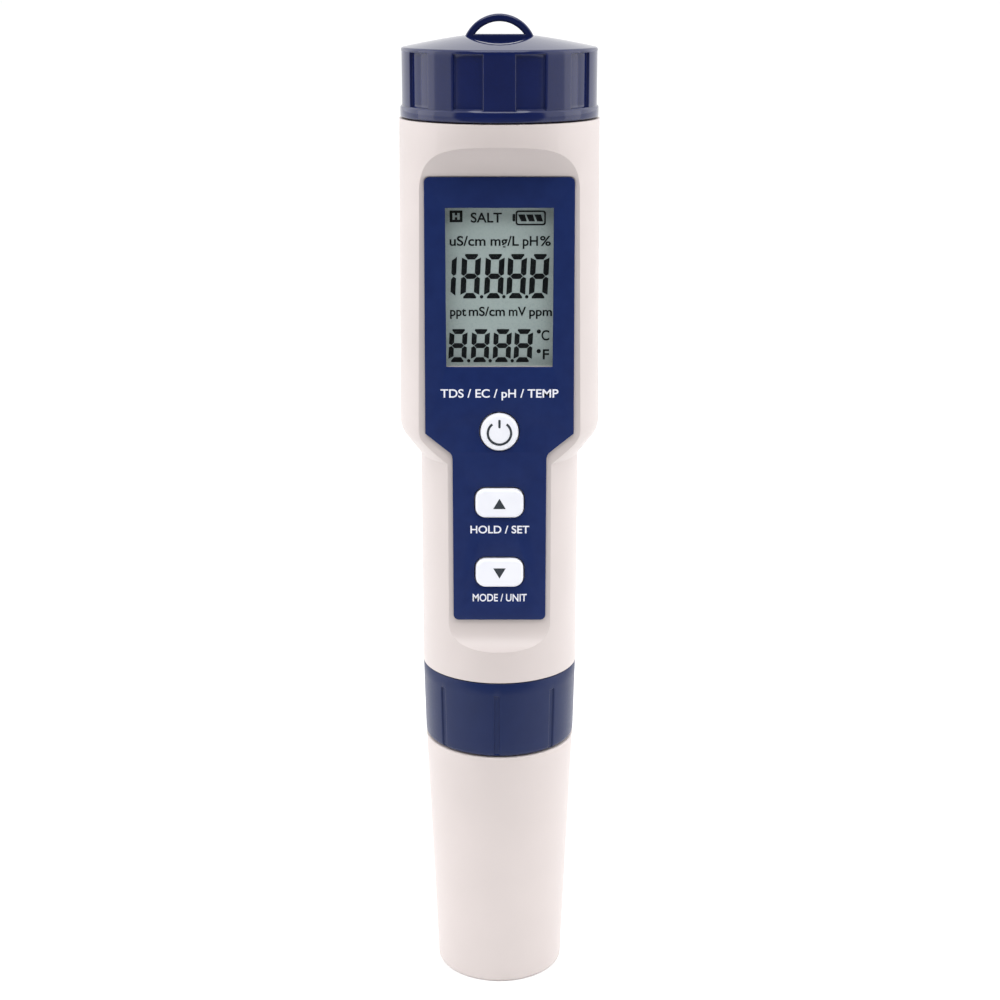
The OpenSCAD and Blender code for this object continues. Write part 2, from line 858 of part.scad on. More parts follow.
main_housing();
front_panel();
window_lens();
display_glass();
display_frame();
backlight();
zebra_strip(1);  // zebra_strip_top
zebra_strip(-1);  // zebra_strip_bottom
main_board();
controller_chip();
tact_switch(z_power);  // power_switch
tact_switch(z_up);  // up_switch
tact_switch(z_down);  // down_switch
board_screw(0);  // board_screw_1
board_screw(1);  // board_screw_2
board_screw(2);  // board_screw_3
board_screw(3);  // board_screw_4
battery_floor();
battery_leaf(-1);  // battery_leaf_left
battery_leaf(1);  // battery_leaf_right
seal(z_neck_seal, neck_r, neck_seal_proud);  // neck_seal
probe_socket();
power_key();
plunger(z_power);  // power_plunger
arrow_key(z_up);  // up_key
plunger(z_up);  // up_plunger
arrow_key(z_down);  // down_key
plunger(z_down);  // down_plunger
battery_carriage();
carriage_cover();
contact_bridge();
button_cell(-1, 0);  // cell_1
button_cell(-1, 1);  // cell_2
button_cell(1, 0);  // cell_3
button_cell(1, 1);  // cell_4
battery_cap();
swivel_screw();
probe_body();
probe_plug();
seal(z_barrel_seal, barrel_r, seal_proud);  // barrel_seal
seal(z_plug_seal, plug_r, seal_proud);  // flange_seal
glass_electrode();
sensor_pin(0, 4);  // reference_junction
sensor_pin(1, 3);  // cell_pin_left
sensor_pin(2, 3);  // cell_pin_right
temperature_tube();
probe_collar();
soaking_cap();
soaking_sponge();
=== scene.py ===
"""Pen-shaped water tester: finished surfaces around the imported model, in metres."""

import math

import bmesh
import bpy
from mathutils import Matrix, Vector


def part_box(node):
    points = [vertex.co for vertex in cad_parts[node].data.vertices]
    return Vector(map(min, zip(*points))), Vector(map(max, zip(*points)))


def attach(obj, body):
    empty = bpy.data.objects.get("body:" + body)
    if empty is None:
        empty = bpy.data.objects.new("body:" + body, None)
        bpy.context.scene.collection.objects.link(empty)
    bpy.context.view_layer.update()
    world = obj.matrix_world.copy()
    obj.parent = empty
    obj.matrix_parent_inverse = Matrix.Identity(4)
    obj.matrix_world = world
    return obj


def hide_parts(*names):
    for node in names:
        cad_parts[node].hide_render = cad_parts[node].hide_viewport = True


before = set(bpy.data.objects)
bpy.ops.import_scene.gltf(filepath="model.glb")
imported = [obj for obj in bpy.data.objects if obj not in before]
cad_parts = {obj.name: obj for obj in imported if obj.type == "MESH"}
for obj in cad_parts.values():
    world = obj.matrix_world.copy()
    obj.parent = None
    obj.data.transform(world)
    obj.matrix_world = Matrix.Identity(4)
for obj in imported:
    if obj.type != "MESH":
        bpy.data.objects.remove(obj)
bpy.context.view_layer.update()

MM = 0.001
TURN = 2 * math.pi
FRONT = -TURN / 4          # the direction of -Y, where the face is
MERGE = 1e-7               # vertices nearer than this are one

# ---------------------------------------------------------------- sizes

cap_low, cap_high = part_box("battery_cap")
panel_low, panel_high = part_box("front_panel")
glass_low, glass_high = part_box("display_glass")
lens_low, lens_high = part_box("window_lens")
collar_low, collar_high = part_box("probe_collar")
cup_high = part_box("soaking_cap")[1]

PANEL_FACE = -panel_low.y
PANEL_BACK = -panel_high.y
KEY_PROUD = 0.9 * MM
KEY_FACE = PANEL_FACE + KEY_PROUD
KEY_BACK = -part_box("power_key")[1].y

BAND_PROUD = 0.25 * MM     # how far the cap's plain band stands out of its skirt
BAND_H = 2 * MM
SKIRT_H = 12.2 * MM
CROWN_RISE = 2.65 * MM
CROWN_POWER = 1.45         # 1 is a cone, 2 a bowl
CAP_TOP_T = 1.1 * MM
CAP_WALL = 1.7 * MM
POCKETS = 10
POCKET_DEPTH = 0.5 * MM
EYE_HALF, EYE_H, EYE_T, EYE_BAR = 6.1 * MM, 3.2 * MM, 2.8 * MM, 1.35 * MM
CAP_LEAD, COLLAR_LEAD = 6 * MM, 5 * MM

GROOVES = 8
GROOVE_HALF = math.radians(2.25)
GROOVE_SHIFT = math.radians(2)     # the front groove sits this far to the left
GROOVE_DEPTH = 0.28 * MM


# ---------------------------------------------------------------- materials

def node(tree, kind, **values):
    """A node of one kind, with its settings and its unlinked inputs."""
    made = tree.nodes.new(kind)
    for key, value in values.items():
        if key in made.inputs:
            made.inputs[key].default_value = value
        else:
            setattr(made, key, value)
    return made


def noise(tree, coords, scale, detail=3.0, rough=0.5):
    made = node(tree, "ShaderNodeTexNoise")
    made.inputs["Scale"].default_value = scale
    made.inputs["Detail"].default_value = detail
    made.inputs["Roughness"].default_value = rough
    tree.links.new(coords, made.inputs["Vector"])
    return made.outputs["Fac"]


def span(tree, value, low, high):
    """Maps a noise from its usual range to low..high."""
    made = node(tree, "ShaderNodeMapRange")
    made.inputs["From Min"].default_value = 0.3
    made.inputs["From Max"].default_value = 0.7
    made.inputs["To Min"].default_value = low
    made.inputs["To Max"].default_value = high
    tree.links.new(value, made.inputs["Value"])
    return made.outputs["Result"]


def ramp(tree, value, low, high, at_low, at_high):
    """Goes smoothly from at_low to at_high as the value goes from low to high."""
    made = node(tree, "ShaderNodeMapRange", interpolation_type="SMOOTHSTEP")
    for key, number in {"From Min": low, "From Max": high, "To Min": at_low,
                        "To Max": at_high}.items():
        made.inputs[key].default_value = number
    tree.links.new(value, made.inputs["Value"])
    return made.outputs["Result"]


def math_node(tree, operation, first, second, third=None):
    """A sum of two or three inputs, each a socket or a number."""
    made = node(tree, "ShaderNodeMath", operation=operation)
    for slot_in, value in zip(made.inputs, (first, second, third)):
        if value is None:
            continue
        if isinstance(value, (int, float)):
            slot_in.default_value = value
        else:
            tree.links.new(value, slot_in)
    return made.outputs[0]


def finish(name, colour, shade=None, rough=(0.4, 0.5), cloud=60, grain=1500, bump=0.1,
           depth=0.02, stretch=(1, 1, 1), **sockets):
    """A finish: two tones in clouds, roughness that varies, and a fine grain as bump."""
    mat = bpy.data.materials.new(name)
    mat.use_nodes = True
    tree = mat.node_tree
    tree.nodes.clear()
    out = node(tree, "ShaderNodeOutputMaterial")
    shader = node(tree, "ShaderNodeBsdfPrincipled")
    tree.links.new(shader.outputs["BSDF"], out.inputs["Surface"])
    place = node(tree, "ShaderNodeTexCoord")
    turn = node(tree, "ShaderNodeMapping")
    turn.inputs["Scale"].default_value = stretch
    tree.links.new(place.outputs["Object"], turn.inputs["Vector"])
    coords = turn.outputs["Vector"]
    clouds = noise(tree, coords, cloud)
    fine = noise(tree, coords, grain, detail=4)
    tones = node(tree, "ShaderNodeMix", data_type="RGBA")
    other = shade or tuple(0.92 * c for c in colour)
    for slot_in in tones.inputs:
        if slot_in.type == "RGBA":
            slot_in.default_value = (*(colour if slot_in.name == "A" else other), 1)
    tree.links.new(span(tree, clouds, 0, 1), tones.inputs["Factor"])
    result = [o for o in tones.outputs if o.type == "RGBA"][0]
    tree.links.new(result, shader.inputs["Base Color"])
    tree.links.new(span(tree, fine, *rough), shader.inputs["Roughness"])
    relief = node(tree, "ShaderNodeBump")
    relief.inputs["Strength"].default_value = bump
    relief.inputs["Distance"].default_value = depth * MM
    tree.links.new(fine, relief.inputs["Height"])
    tree.links.new(relief.outputs["Normal"], shader.inputs["Normal"])
    for key, value in sockets.items():
        shader.inputs[key.replace("_", " ")].default_value = value
    mat.diffuse_color = (*colour, 1)
    return mat


MOULDED_WHITE = finish("moulded_white", (0.575, 0.515, 0.50), (0.545, 0.49, 0.475),
                       rough=(0.36, 0.46), cloud=45, grain=2200, bump=0.08)
CAP_NAVY = finish("cap_navy_gloss", (0.004, 0.010, 0.068), (0.003, 0.008, 0.058),
                  rough=(0.08, 0.13), cloud=120, grain=1800, bump=0.03,
                  Specular_IOR_Level=0.48)
COLLAR_NAVY = finish("collar_navy_satin", (0.008, 0.017, 0.072), (0.007, 0.015, 0.064),
                     rough=(0.3, 0.38), cloud=150, grain=2500, bump=0.08,
                     Specular_IOR_Level=0.2)
PANEL_FILM = finish("panel_film", (0.0045, 0.0145, 0.083), (0.006, 0.018, 0.095),
                    rough=(0.34, 0.44), cloud=380, grain=3500, bump=0.1,
                    Specular_IOR_Level=0.22)
PRINT_WHITE = finish("print_white", (0.78, 0.79, 0.86), rough=(0.45, 0.55), grain=5000)
PRINT_DARK = finish("print_dark", (0.018, 0.024, 0.034), rough=(0.45, 0.55), grain=5000)
KEY_SILICONE = finish("key_silicone", (0.80, 0.81, 0.86), (0.77, 0.78, 0.84),
                      rough=(0.38, 0.48), cloud=200, grain=2600, bump=0.08)
DISPLAY_FACE = finish("display_face", (0.355, 0.425, 0.415), (0.33, 0.40, 0.39),
                      rough=(0.25, 0.32), cloud=90, grain=4000, bump=0.02)
DISPLAY_INK = finish("display_ink", (0.002, 0.003, 0.004), rough=(0.4, 0.5), grain=4000,
                     Specular_IOR_Level=0.1)
CLEAR_LENS = finish("clear_lens", (0.05, 0.06, 0.06), rough=(0.03, 0.06), grain=300,
                    bump=0.0, Alpha=0.04, Specular_IOR_Level=0.2)
CLEAR_LENS.surface_render_method = "BLENDED"
SOFT_RUBBER = finish("soft_rubber", (0.10, 0.11, 0.13), rough=(0.6, 0.75), grain=1800)
SEAL_RUBBER = finish("seal_rubber", (0.018, 0.018, 0.02), (0.03, 0.03, 0.032),
                     rough=(0.5, 0.65), grain=2400, bump=0.2)
BOARD_GREEN = finish("circuit_board_green", (0.015, 0.11, 0.045), (0.012, 0.08, 0.035),
                     rough=(0.3, 0.45), cloud=700, grain=2000)
BLACK_PLASTIC = finish("black_plastic", (0.02, 0.02, 0.022), rough=(0.4, 0.55),
                       grain=2500, bump=0.15)
INNER_WHITE = finish("inner_white", (0.72, 0.72, 0.70), rough=(0.45, 0.6), grain=2000)
STEEL = finish("bright_steel", (0.62, 0.63, 0.65), (0.52, 0.53, 0.55), rough=(0.2, 0.34),
               cloud=500, grain=900, stretch=(1, 1, 6), bump=0.1, Metallic=1.0)
CELL_STEEL = finish("cell_nickel", (0.66, 0.65, 0.62), (0.56, 0.55, 0.52),
                    rough=(0.16, 0.28), cloud=400, grain=1200, bump=0.1, Metallic=1.0)
CONTACT = finish("contact_nickel", (0.72, 0.66, 0.5), (0.62, 0.56, 0.42),
                 rough=(0.2, 0.32), cloud=600, grain=1500, Metallic=1.0)
SENSOR_METAL = finish("sensor_pin_metal", (0.55, 0.52, 0.47), (0.46, 0.43, 0.38),
                      rough=(0.22, 0.36), cloud=900, grain=2600, Metallic=1.0)
PROBE_WHITE = finish("probe_white", (0.60, 0.56, 0.54), (0.57, 0.53, 0.51),
                     rough=(0.38, 0.5), cloud=60, grain=2200, bump=0.08)
SENSOR_GLASS = finish("sensor_glass", (0.75, 0.86, 0.88), rough=(0.03, 0.07), grain=900,
                      bump=0.02, Transmission_Weight=0.75, IOR=1.47)
CERAMIC = finish("junction_ceramic", (0.78, 0.74, 0.66), (0.66, 0.61, 0.52),
                 rough=(0.7, 0.9), cloud=1500, grain=4000, bump=0.4, depth=0.08)
SPONGE = finish("wet_sponge", (0.80, 0.62, 0.22), (0.62, 0.45, 0.13), rough=(0.6, 0.9),
                cloud=1400, grain=1100, bump=0.9, depth=0.5)

CAD_FINISHES = {
    "main_housing": MOULDED_WHITE, "window_lens": CLEAR_LENS, "display_frame": INNER_WHITE,
    "backlight": INNER_WHITE, "zebra_strip_top": SOFT_RUBBER,
    "zebra_strip_bottom": SOFT_RUBBER, "main_board": BOARD_GREEN,
    "controller_chip": BLACK_PLASTIC, "power_switch": BLACK_PLASTIC,
    "up_switch": BLACK_PLASTIC, "down_switch": BLACK_PLASTIC, "board_screw_1": STEEL,
    "board_screw_2": STEEL, "board_screw_3": STEEL, "board_screw_4": STEEL,
    "battery_floor": INNER_WHITE, "battery_leaf_left": CONTACT,
    "battery_leaf_right": CONTACT, "neck_seal": SEAL_RUBBER, "probe_socket": BLACK_PLASTIC,
    "power_plunger": SOFT_RUBBER, "up_plunger": SOFT_RUBBER, "down_plunger": SOFT_RUBBER,
    "battery_carriage": BLACK_PLASTIC, "carriage_cover": BLACK_PLASTIC,
    "contact_bridge": CONTACT, "cell_1": CELL_STEEL, "cell_2": CELL_STEEL,
    "cell_3": CELL_STEEL, "cell_4": CELL_STEEL, "swivel_screw": STEEL,
    "probe_body": PROBE_WHITE, "probe_plug": BLACK_PLASTIC, "barrel_seal": SEAL_RUBBER,
    "flange_seal": SEAL_RUBBER, "glass_electrode": SENSOR_GLASS,
    "reference_junction": CERAMIC, "cell_pin_left": SENSOR_METAL,
    "cell_pin_right": SENSOR_METAL, "temperature_tube": SENSOR_METAL,
    "soaking_sponge": SPONGE,
}


# ---------------------------------------------------------------- making pieces

def piece(bm, name, body, material, replaces=(), sharp=35):
    """Closes a mesh, turns its faces outwards and puts it in the scene on its body."""
    bmesh.ops.remove_doubles(bm, verts=bm.verts[:], dist=MERGE)
    bmesh.ops.recalc_face_normals(bm, faces=bm.faces[:])
    mesh = bpy.data.meshes.new(name)
    bm.to_mesh(mesh)
    bm.free()
    mesh.polygons.foreach_set("use_smooth", [True] * len(mesh.polygons))
    mesh.set_sharp_from_angle(angle=math.radians(sharp))
    mesh.materials.append(material)
    made = bpy.data.objects.new(name, mesh)
    bpy.context.collection.objects.link(made)
    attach(made, body)
    if replaces:
        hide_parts(*replaces)
    return made


def add_lathe(bm, profile, steps, start=FRONT):
    """Spins a line of (radius, height) points a full turn about the upright axis."""
    verts = [bm.verts.new((r * math.cos(start), r * math.sin(start), z))
             for r, z in profile]
    edges = [bm.edges.new(pair) for pair in zip(verts, verts[1:])]
    bmesh.ops.spin(bm, geom=verts + edges, cent=(0, 0, 0), axis=(0, 0, 1),
                   dvec=(0, 0, 0), angle=TURN, steps=steps, use_merge=True,
                   use_duplicate=False)
    bmesh.ops.remove_doubles(bm, verts=bm.verts[:], dist=MERGE)


def add_ridge(bm, section, lead, rise, start_z, start, per_turn=60):
    """Winds a closed (radius, height) section up round the axis, as a thread ridge."""
    turns = rise / lead
    steps = round(per_turn * turns)
    verts = [bm.verts.new((r * math.cos(start), r * math.sin(start), z + start_z))
             for r, z in section]
    first = bm.faces.new(verts)
    bmesh.ops.spin(bm, geom=[first], cent=(0, 0, 0), axis=(0, 0, 1),
                   dvec=(0, 0, rise / steps), angle=TURN * turns, steps=steps,
                   use_merge=False, use_duplicate=True)


def add_sheet(bm, outlines, back, front, edge=0.0, rounds=3):
    """A sheet that stands upright from y = -front to y = -back, cut to (x, z) outlines."""
    curve = bpy.data.curves.new("outline", "CURVE")
    curve.dimensions = "2D"
    curve.fill_mode = "BOTH"
    curve.extrude = (front - back) / 2 - edge
    curve.bevel_depth = edge
    curve.bevel_resolution = rounds
    curve.offset = -edge
    for outline in outlines:
        spline = curve.splines.new("POLY")
        spline.points.add(len(outline) - 1)
        for point, (x, z) in zip(spline.points, outline):
            point.co = (x, z, 0, 1)
        spline.use_cyclic_u = True
    add_curve(bm, curve, back, front)


def add_words(bm, words, x, z, height, front, thick=0.03 * MM, bold=0.0, width=None):
    """Printed words centred on x, with their capitals from z up."""
    curve = bpy.data.curves.new("words", "FONT")
    curve.body = words
    curve.align_x = "CENTER"
    curve.size = height / 0.7
    curve.extrude = thick / 2
    curve.offset = bold
    add_curve(bm, curve, front - thick, front, (x, z), width)


def add_curve(bm, curve, back, front, place=(0, 0), width=None):
    """Makes a flat curve a mesh, and stands it up with its front at y = -front."""
    holder = bpy.data.objects.new("flat", curve)
    bpy.context.collection.objects.link(holder)
    depsgraph = bpy.context.evaluated_depsgraph_get()
    mesh = bpy.data.meshes.new_from_object(holder.evaluated_get(depsgraph))
    bpy.data.objects.remove(holder)
    if width:
        across = [v.co.x for v in mesh.vertices]
        squeeze = width / (max(across) - min(across))
        mesh.transform(Matrix.Diagonal((squeeze, 1, 1, 1)))
    stand = Matrix.Translation((place[0], -(front + back) / 2, place[1]))
    mesh.transform(stand @ Matrix.Rotation(TURN / 4, 4, "X"))
    bm.from_mesh(mesh)
    bpy.data.meshes.remove(mesh)


def arc(x, z, r, start, end, steps=8):
    """Points on an arc from start to end, in degrees."""
    turns = [math.radians(start + (end - start) * i / steps) for i in range(steps + 1)]
    return [(x + r * math.cos(a), z + r * math.sin(a)) for a in turns]


def round_rect(x, z, w, h, r, steps=8):
    """Outline of a rectangle with round corners, centred on (x, z)."""
    out = []
    for sx, sz, start in ((1, 1, 0), (-1, 1, 90), (-1, -1, 180), (1, -1, 270)):
        out += arc(x + sx * (w / 2 - r), z + sz * (h / 2 - r), r, start, start + 90, steps)
    return out


# ---------------------------------------------------------------- battery cap

def soft_min(a, b, blend):
    """The smaller of two heights, rounded over where they meet."""
    near = max(0, 1 - abs(a - b) / blend)
    return min(a, b) - near * near * blend / 4


def battery_cap():
    z_lid, band_r = cap_low.z, cap_high.x
    skirt_r = band_r - BAND_PROUD
    z_band = z_lid + BAND_H
    z_rim = z_lid + SKIRT_H
    z_dome = z_rim + CROWN_RISE
    bore_r = skirt_r - CAP_WALL
    z_inside = z_rim - CAP_TOP_T
    edge = 0.5 * MM

    def crown(r):
        return z_dome - CROWN_RISE * (r / skirt_r) ** CROWN_POWER

    profile = [(0, z_inside), (4 * MM, z_inside), (10 * MM, z_inside),
               (bore_r - 0.6 * MM, z_inside), (bore_r, z_inside - 0.6 * MM),
               (bore_r, z_lid + 1 * MM), (bore_r, z_lid + 0.3 * MM),
               (bore_r + 0.2 * MM, z_lid), (band_r - 0.3 * MM, z_lid)]
    profile += arc(band_r - 0.3 * MM, z_lid + 0.3 * MM, 0.3 * MM, -75, 0, 4)
    profile += [(band_r, z_band - 0.3 * MM), (band_r - 0.06 * MM, z_band - 0.12 * MM),
                (skirt_r, z_band + 0.02 * MM)]
    rows = 14
    z_pocket = z_band + 0.1 * MM
    z_pocket_top = z_rim - 0.62 * MM
    profile += [(skirt_r, z_pocket + (z_pocket_top - z_pocket) * i / rows)
                for i in range(rows + 1)]
    profile += arc(skirt_r - edge, crown(skirt_r - edge) - edge, edge, 0, 80, 6)[1:]
    last = profile[-1][0]
    rings = 40
    profile += [(r, crown(r)) for r in [last * (1 - i / rings) for i in range(1, rings)]]
    profile += [(0, z_dome)]
    bm = bmesh.new()
    add_lathe(bm, profile, 240)
    bmesh.ops.recalc_face_normals(bm, faces=bm.faces[:])

    # pockets: half of each share of the skirt
    share = TURN / POCKETS
    chosen = []
    for f in bm.faces:
        c = f.calc_center_median()
        turn = (math.atan2(c.y, c.x) - FRONT) % share - share / 2
        if (abs(turn) < share / 4 and z_pocket < c.z < z_pocket_top
                and math.hypot(c.x, c.y) > skirt_r - 0.1 * MM):
            chosen.append(f)
    ring = set(bmesh.ops.inset_region(bm, faces=chosen, thickness=0.1 * MM,
                                      depth=-POCKET_DEPTH, use_even_offset=True,
                                      use_boundary=True)["faces"])
    seams = {e for f in ring for e in f.edges
             if sum(g in ring for g in e.link_faces) == 1}
    bmesh.ops.bevel(bm, geom=list(seams), offset=0.09 * MM, offset_type="OFFSET",
                    affect="EDGES", segments=3, profile=0.5, material=-1,
                    clamp_overlap=True)

    # a shallow hollow on either side of the eye, where the cord runs
    z_scoop = z_rim + 0.38 * CROWN_RISE
    sag = crown(EYE_HALF) - z_scoop
    scoop_r = (EYE_HALF ** 2 + sag ** 2) / (2 * sag)
    widest = (12 * MM) ** 2
    for v in bm.verts:
        if v.co.z > z_rim - 0.4 * MM:
            across = min(v.co.x ** 2, widest)
            hollow = z_scoop + scoop_r - math.sqrt(scoop_r ** 2 - across)
            v.co.z = soft_min(v.co.z, hollow, 0.3 * MM)

    # the eye: an upright plate with a round back and a half-moon opening
    z_eye = z_dome + EYE_H
    reach = z_eye - crown(EYE_HALF)
    arch_r = (EYE_HALF ** 2 + reach ** 2) / (2 * reach)
    mid = z_eye - arch_r
    foot = z_inside + 0.4 * MM
    start = math.degrees(math.asin((foot - mid) / arch_r))
    outer = arc(0, mid, arch_r, start, 180 - start, 72)
    sill = z_dome - 0.35 * MM
    opening_r = arch_r - EYE_BAR
    start = math.degrees(math.asin((sill - mid) / opening_r))
    opening = arc(0, mid, opening_r, start, 180 - start, 48)
    add_sheet(bm, [outer, opening], -EYE_T / 2, EYE_T / 2, edge=0.4 * MM, rounds=4)

    # boss for the swivel screw, and the two-start thread inside
    boss_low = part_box("swivel_screw")[1].z - 1.15 * MM
    add_lathe(bm, [(0.99 * MM, z_inside), (0.99 * MM, boss_low), (2.8 * MM, boss_low),
                   (3 * MM, boss_low + 0.2 * MM), (3 * MM, z_inside + 0.3 * MM)], 40)
    ridge = [(bore_r - 0.8 * MM, -0.3 * MM), (bore_r + 0.1 * MM, -0.8 * MM),
             (bore_r + 0.1 * MM, 0.8 * MM), (bore_r - 0.8 * MM, 0.3 * MM)]
    neck_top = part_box("main_housing")[1].z
    for start in (0, TURN / 2):
        add_ridge(bm, ridge, CAP_LEAD, 4.1 * MM, neck_top - 5 * MM, start)
    return piece(bm, "cap_shell", "cap", CAP_NAVY, ["battery_cap"], sharp=50)


# ---------------------------------------------------------------- panel and its print

WINDOW = (0, (lens_low.z + lens_high.z) / 2, 19.4 * MM, 28.9 * MM)
Z_POWER, Z_UP, Z_DOWN = ((low.z + high.z) / 2 for low, high in
                         (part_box("power_key"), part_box("up_key"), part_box("down_key")))
KEY_GAP = 0.25 * MM
POWER_R = 3.5 * MM
KEY_W, KEY_H, KEY_R = 8.95 * MM, 5.5 * MM, 1.9 * MM


def panel_outline():
    wide, narrow = panel_high.x, 8.7 * MM
    top_wide = wide - 0.25 * MM
    top, bottom = panel_high.z, panel_low.z
    r = 1 * MM
    z_low = Z_POWER - 4.5 * MM
    z_high = z_low + (wide - narrow) * math.tan(math.radians(37.5))
    right = [*arc(narrow - r, bottom + r, r, -90, 0),
             (narrow, z_low - 0.7 * MM), (narrow + 0.12 * MM, z_low - 0.1 * MM),
             (narrow + 0.45 * MM, z_low + 0.4 * MM), (wide, z_high + 0.25 * MM),
             *arc(top_wide - r, top - r, r, 0, 90)]
    return right + [(-x, z) for x, z in reversed(right)]


def front_panel():
    bm = bmesh.new()
    x, z, w, h = WINDOW
    holes = [round_rect(x, z, w, h, 0.15 * MM),
             arc(0, Z_POWER, POWER_R + KEY_GAP, 0, 354, 59),
             round_rect(0, Z_UP, KEY_W + 2 * KEY_GAP, KEY_H + 2 * KEY_GAP, KEY_R + KEY_GAP),
             round_rect(0, Z_DOWN, KEY_W + 2 * KEY_GAP, KEY_H + 2 * KEY_GAP,
                        KEY_R + KEY_GAP)]
    add_sheet(bm, [panel_outline(), *holes], PANEL_BACK, PANEL_FACE, edge=0.12 * MM)
    return piece(bm, "panel_sheet", "housing", PANEL_FILM, ["front_panel"])


def panel_print():
    bm = bmesh.new()
    raised = PANEL_FACE + 0.015 * MM
    add_words(bm, "TDS / EC / pH / TEMP", 0, 120.2 * MM, 1.55 * MM, raised, width=21.6 * MM,
              bold=0.03 * MM)
    add_words(bm, "HOLD / SET", 0, Z_UP - 5.95 * MM, 1.45 * MM, raised, width=11 * MM,
              bold=0.03 * MM)
    add_words(bm, "MODE / UNIT", 0, Z_DOWN - 5.8 * MM, 1.45 * MM, raised, width=10.2 * MM,
              bold=0.03 * MM)
    return piece(bm, "panel_print", "housing", PRINT_WHITE)


# ---------------------------------------------------------------- display

def segment_digit(x, z, w, h, lean, thick):
    """The seven segments of an 8 with mitred ends, as outlines."""
    gap = 0.07 * MM
    t = thick / 2

    def slant(points):
        return [(x + px + lean * pz, z + pz) for px, pz in points]

    cut = 0.45 * thick
    out = [slant([(cut + gap, cut * 0.6), (cut + 2 * gap, 0), (w - cut - 2 * gap, 0),
                  (w - cut - gap, cut * 0.6), (w - thick - gap, thick), (thick + gap, thick)]),
           slant([(cut + gap, h - cut * 0.6), (cut + 2 * gap, h), (w - cut - 2 * gap, h),
                  (w - cut - gap, h - cut * 0.6), (w - thick - gap, h - thick),
                  (thick + gap, h - thick)]),
           slant([(t + gap, h / 2), (thick + gap, h / 2 + t), (w - thick - gap, h / 2 + t),
                  (w - t - gap, h / 2), (w - thick - gap, h / 2 - t),
                  (thick + gap, h / 2 - t)])]
    for near, far in ((0, thick), (w, w - thick)):
        for end, middle, way in ((0, h / 2 - gap, 1), (h, h / 2 + gap, -1)):
            out.append(slant([(near, end + (cut + 3 * gap) * way),
                              (far, end + (thick + 2 * gap) * way),
                              (far, middle - t * way), ((near + far) / 2, middle),
                              (near, middle - 0.6 * t * way)]))
    return out


# What the display shows, in millimetres from the window's left and top edges.
# Digits: left and right edge at the foot; words: middle, foot, height and width.
LEAN = math.tan(math.radians(2.8))
LARGE_DIGITS = {"foot": 16.65, "high": 8.1, "thick": 1.0, "one": 0.65,
                "edges": ((2.55, 6.0), (6.85, 10.3), (10.9, 14.35), (15.0, 18.4))}
SMALL_DIGITS = {"foot": 28.45, "high": 6.15, "thick": 0.92,
                "edges": ((0.3, 3.6), (4.4, 7.7), (8.4, 11.7), (12.25, 15.6))}
POINTS = ((6.45, 16.35), (10.5, 16.35), (14.66, 16.35), (4.05, 28.2), (8.0, 28.2),
          (12.05, 28.2))
WORDS = (("SALT", 7.31, 2.85, 1.73, 5.6), ("uS/cm", 3.95, 7.04, 1.73, 6.5),
         ("mg/L", 10.58, 7.04, 1.73, 5.1), ("pH", 15.3, 7.04, 1.73, 2.75),
         ("%", 18.0, 7.04, 1.73, 1.95), ("ppt", 2.11, 19.85, 1.6, 2.95),
         ("mS/cm", 7.4, 19.85, 1.66, 6.6), ("mV", 12.9, 19.85, 1.66, 3.15),
         ("ppm", 17.2, 19.85, 1.6, 4.15), ("C", 18.1, 24.35, 1.85, 1.45),
         ("F", 18.15, 27.9, 1.85, 1.15))
DEGREES = ((16.9, 22.75), (16.9, 26.4))


